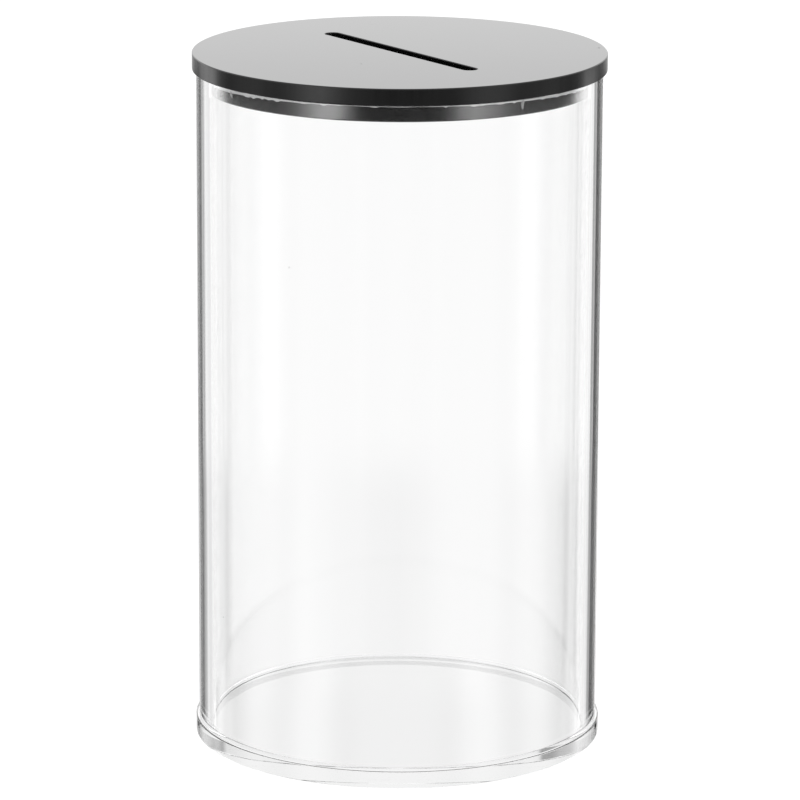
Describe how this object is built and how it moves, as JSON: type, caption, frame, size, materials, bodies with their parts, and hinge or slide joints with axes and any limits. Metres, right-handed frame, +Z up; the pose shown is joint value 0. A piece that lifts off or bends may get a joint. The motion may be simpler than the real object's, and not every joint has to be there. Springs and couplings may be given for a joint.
{
  "type": "donation box",
  "caption": "Clear cylindrical collecting box on a clear base disc, closed by a black lift-off lid with a long slot for coins and folded notes.",
  "frame": {"origin": "centre of the base disc's underside, where the box stands", "axes": "+Z up through the tube to the lid, +X along the slot in the lid"},
  "size_m": [0.1224, 0.1224, 0.2077],
  "materials": {
    "clear_acrylic": "clear cast acrylic, polished faces",
    "black_acrylic": "high gloss black acrylic sheet, saw-cut and polished rim",
    "clear_cement": "clear cured acrylic cement, slightly cloudy"
  },
  "bodies": {
    "vessel": {"base_disc": "clear_acrylic", "tube": "clear_acrylic", "base_bond_fillet": "clear_cement"},
    "lid": {"lid_disc": "black_acrylic", "lid_insert": "black_acrylic", "lid_bond_bead": "clear_cement"}
  },
  "joints": [
    {"name": "lid_lift", "type": "slide", "parent": "vessel", "child": "lid", "axis": [0, 0, 1], "range_m": [0, 0.06]}
  ]
}
